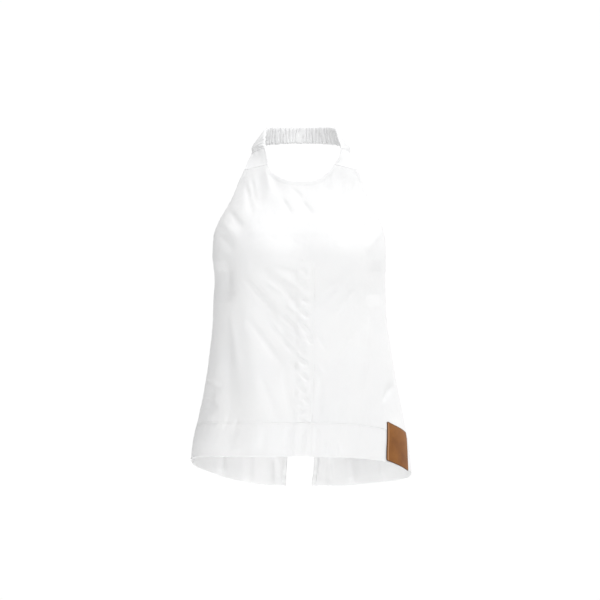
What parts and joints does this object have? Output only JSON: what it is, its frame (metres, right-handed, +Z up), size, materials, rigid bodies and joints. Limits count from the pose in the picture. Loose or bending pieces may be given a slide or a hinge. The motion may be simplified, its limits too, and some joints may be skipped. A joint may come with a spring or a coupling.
{
  "type": "halter neck top",
  "caption": "Sleeveless A-line halter top in white cotton with a ruched neckband, front placket, deep hem and leather patch, in hollow worn form.",
  "frame": {"origin": "nape: the inner face of the neckband at the centre back, at mid height", "axes": "+Z up, the front faces -Y, +X is the wearer's left"},
  "size_m": [0.3868, 0.2774, 0.6487],
  "materials": {
    "cotton": "crisp white cotton poplin, matt",
    "ruched_cotton": "white cotton gathered over elastic, matt",
    "tan_leather": "smooth tan leather, satin"
  },
  "bodies": {
    "root": {"front": "cotton", "placket": "cotton", "placket_hem": "cotton", "front_hem_right": "cotton", "front_hem_left": "cotton", "back_right": "cotton", "back_left": "cotton", "back_hem_right": "cotton", "back_hem_left": "cotton", "slit_hem_right": "cotton", "slit_hem_left": "cotton", "tab_right": "cotton", "tab_left": "cotton", "neckband": "ruched_cotton", "leather_patch": "tan_leather"}
  },
  "joints": []
}
